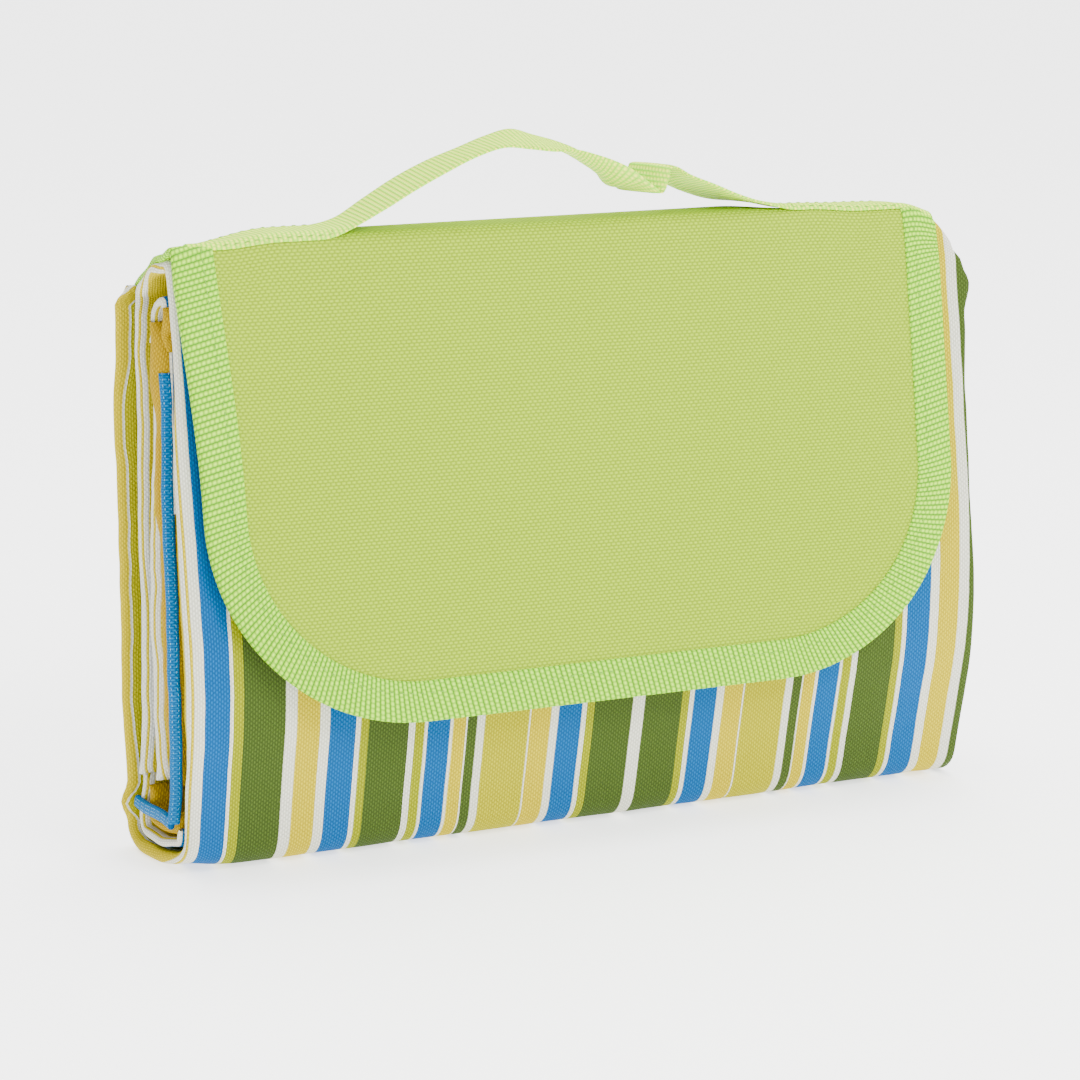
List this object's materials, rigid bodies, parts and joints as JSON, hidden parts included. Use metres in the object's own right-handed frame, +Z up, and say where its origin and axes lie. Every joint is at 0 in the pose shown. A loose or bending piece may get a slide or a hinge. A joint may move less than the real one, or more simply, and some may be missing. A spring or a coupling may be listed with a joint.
{
  "type": "folded picnic mat",
  "caption": "Padded picnic mat folded into a striped pack, with a green carry flap that wraps over its front and a webbing handle on top.",
  "frame": {"origin": "on the ground, at the middle of the whole object's box", "axes": "+X along the width, -Y towards the flap's front, +Z up"},
  "size_m": [0.312, 0.0705, 0.2513],
  "materials": {
    "striped_fabric": "matt printed weave",
    "blue_fabric": "matt printed weave",
    "flap_fabric": "matt basket weave",
    "lining": "matt plain weave",
    "webbing": "satin ribbed tape",
    "green_thread": "satin thread",
    "pale_thread": "satin thread",
    "fastener_tape": "matt hook and loop pile",
    "foam": "matt closed-cell foam",
    "backing_film": "satin film"
  },
  "bodies": {
    "mat_bundle": {"wrap_face_fabric": "striped_fabric", "wrap_foam": "foam", "wrap_backing_film": "backing_film", "folded_packet_1": "striped_fabric", "folded_packet_2": "striped_fabric", "folded_packet_3": "striped_fabric", "folded_packet_4": "striped_fabric", "hem_long_edge": "blue_fabric", "hem_short_edge": "blue_fabric", "hem_stitching": "pale_thread", "loop_strip_left": "fastener_tape", "loop_strip_right": "fastener_tape", "loop_stitching": "green_thread", "rear_seam_stitching": "green_thread"},
    "flap_spine": {"spine_fabric": "flap_fabric", "spine_lining": "lining", "spine_binding_left": "webbing", "spine_binding_right": "webbing", "handle_anchor_left": "webbing", "handle_anchor_right": "webbing", "anchor_stitching": "green_thread"},
    "flap_front": {"flap_face_fabric": "flap_fabric", "flap_foam": "foam", "flap_lining": "lining", "flap_binding": "webbing", "flap_stitching": "green_thread", "hook_strip_left": "fastener_tape", "hook_strip_right": "fastener_tape", "hook_stitching": "green_thread"},
    "handle": {"handle_webbing": "webbing"}
  },
  "joints": [
    {"name": "flap_lift", "type": "hinge", "parent": "mat_bundle", "child": "flap_spine", "pos_m": [0, 0.036, 0.20148], "axis": [-1, 0, 0], "range_deg": [0, 180]},
    {"name": "flap_fold", "type": "hinge", "parent": "flap_spine", "child": "flap_front", "pos_m": [0, -0.00647, 0.219], "axis": [-1, 0, 0], "range_deg": [0, 110]},
    {"name": "handle_swing", "type": "hinge", "parent": "flap_spine", "child": "handle", "pos_m": [0, 0.00433, 0.2227], "axis": [-1, 0, 0], "range_deg": [-35, 35]}
  ]
}
